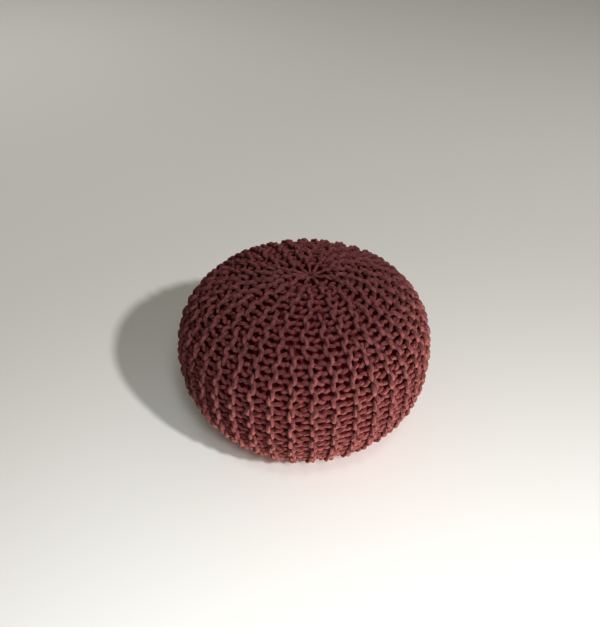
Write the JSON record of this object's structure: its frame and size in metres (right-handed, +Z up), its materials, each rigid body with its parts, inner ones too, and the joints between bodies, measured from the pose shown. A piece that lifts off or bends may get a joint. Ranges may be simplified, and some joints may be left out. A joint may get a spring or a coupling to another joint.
{
  "type": "knitted pouf",
  "caption": "Round knitted floor pouf: a squat filled ball of thick cotton cord in garter stitch, with ridges from pole to pole, drawn together at the crown and flat where it rests.",
  "frame": {"origin": "on the floor, at the middle of the base", "axes": "+Z up through the crown; +X to the right as seen from the front, -Y towards the front"},
  "size_m": [0.5032, 0.4968, 0.3605],
  "materials": {
    "cotton_yarn": "matt"
  },
  "bodies": {
    "root": {"knitted_pouf": "cotton_yarn"}
  },
  "joints": []
}
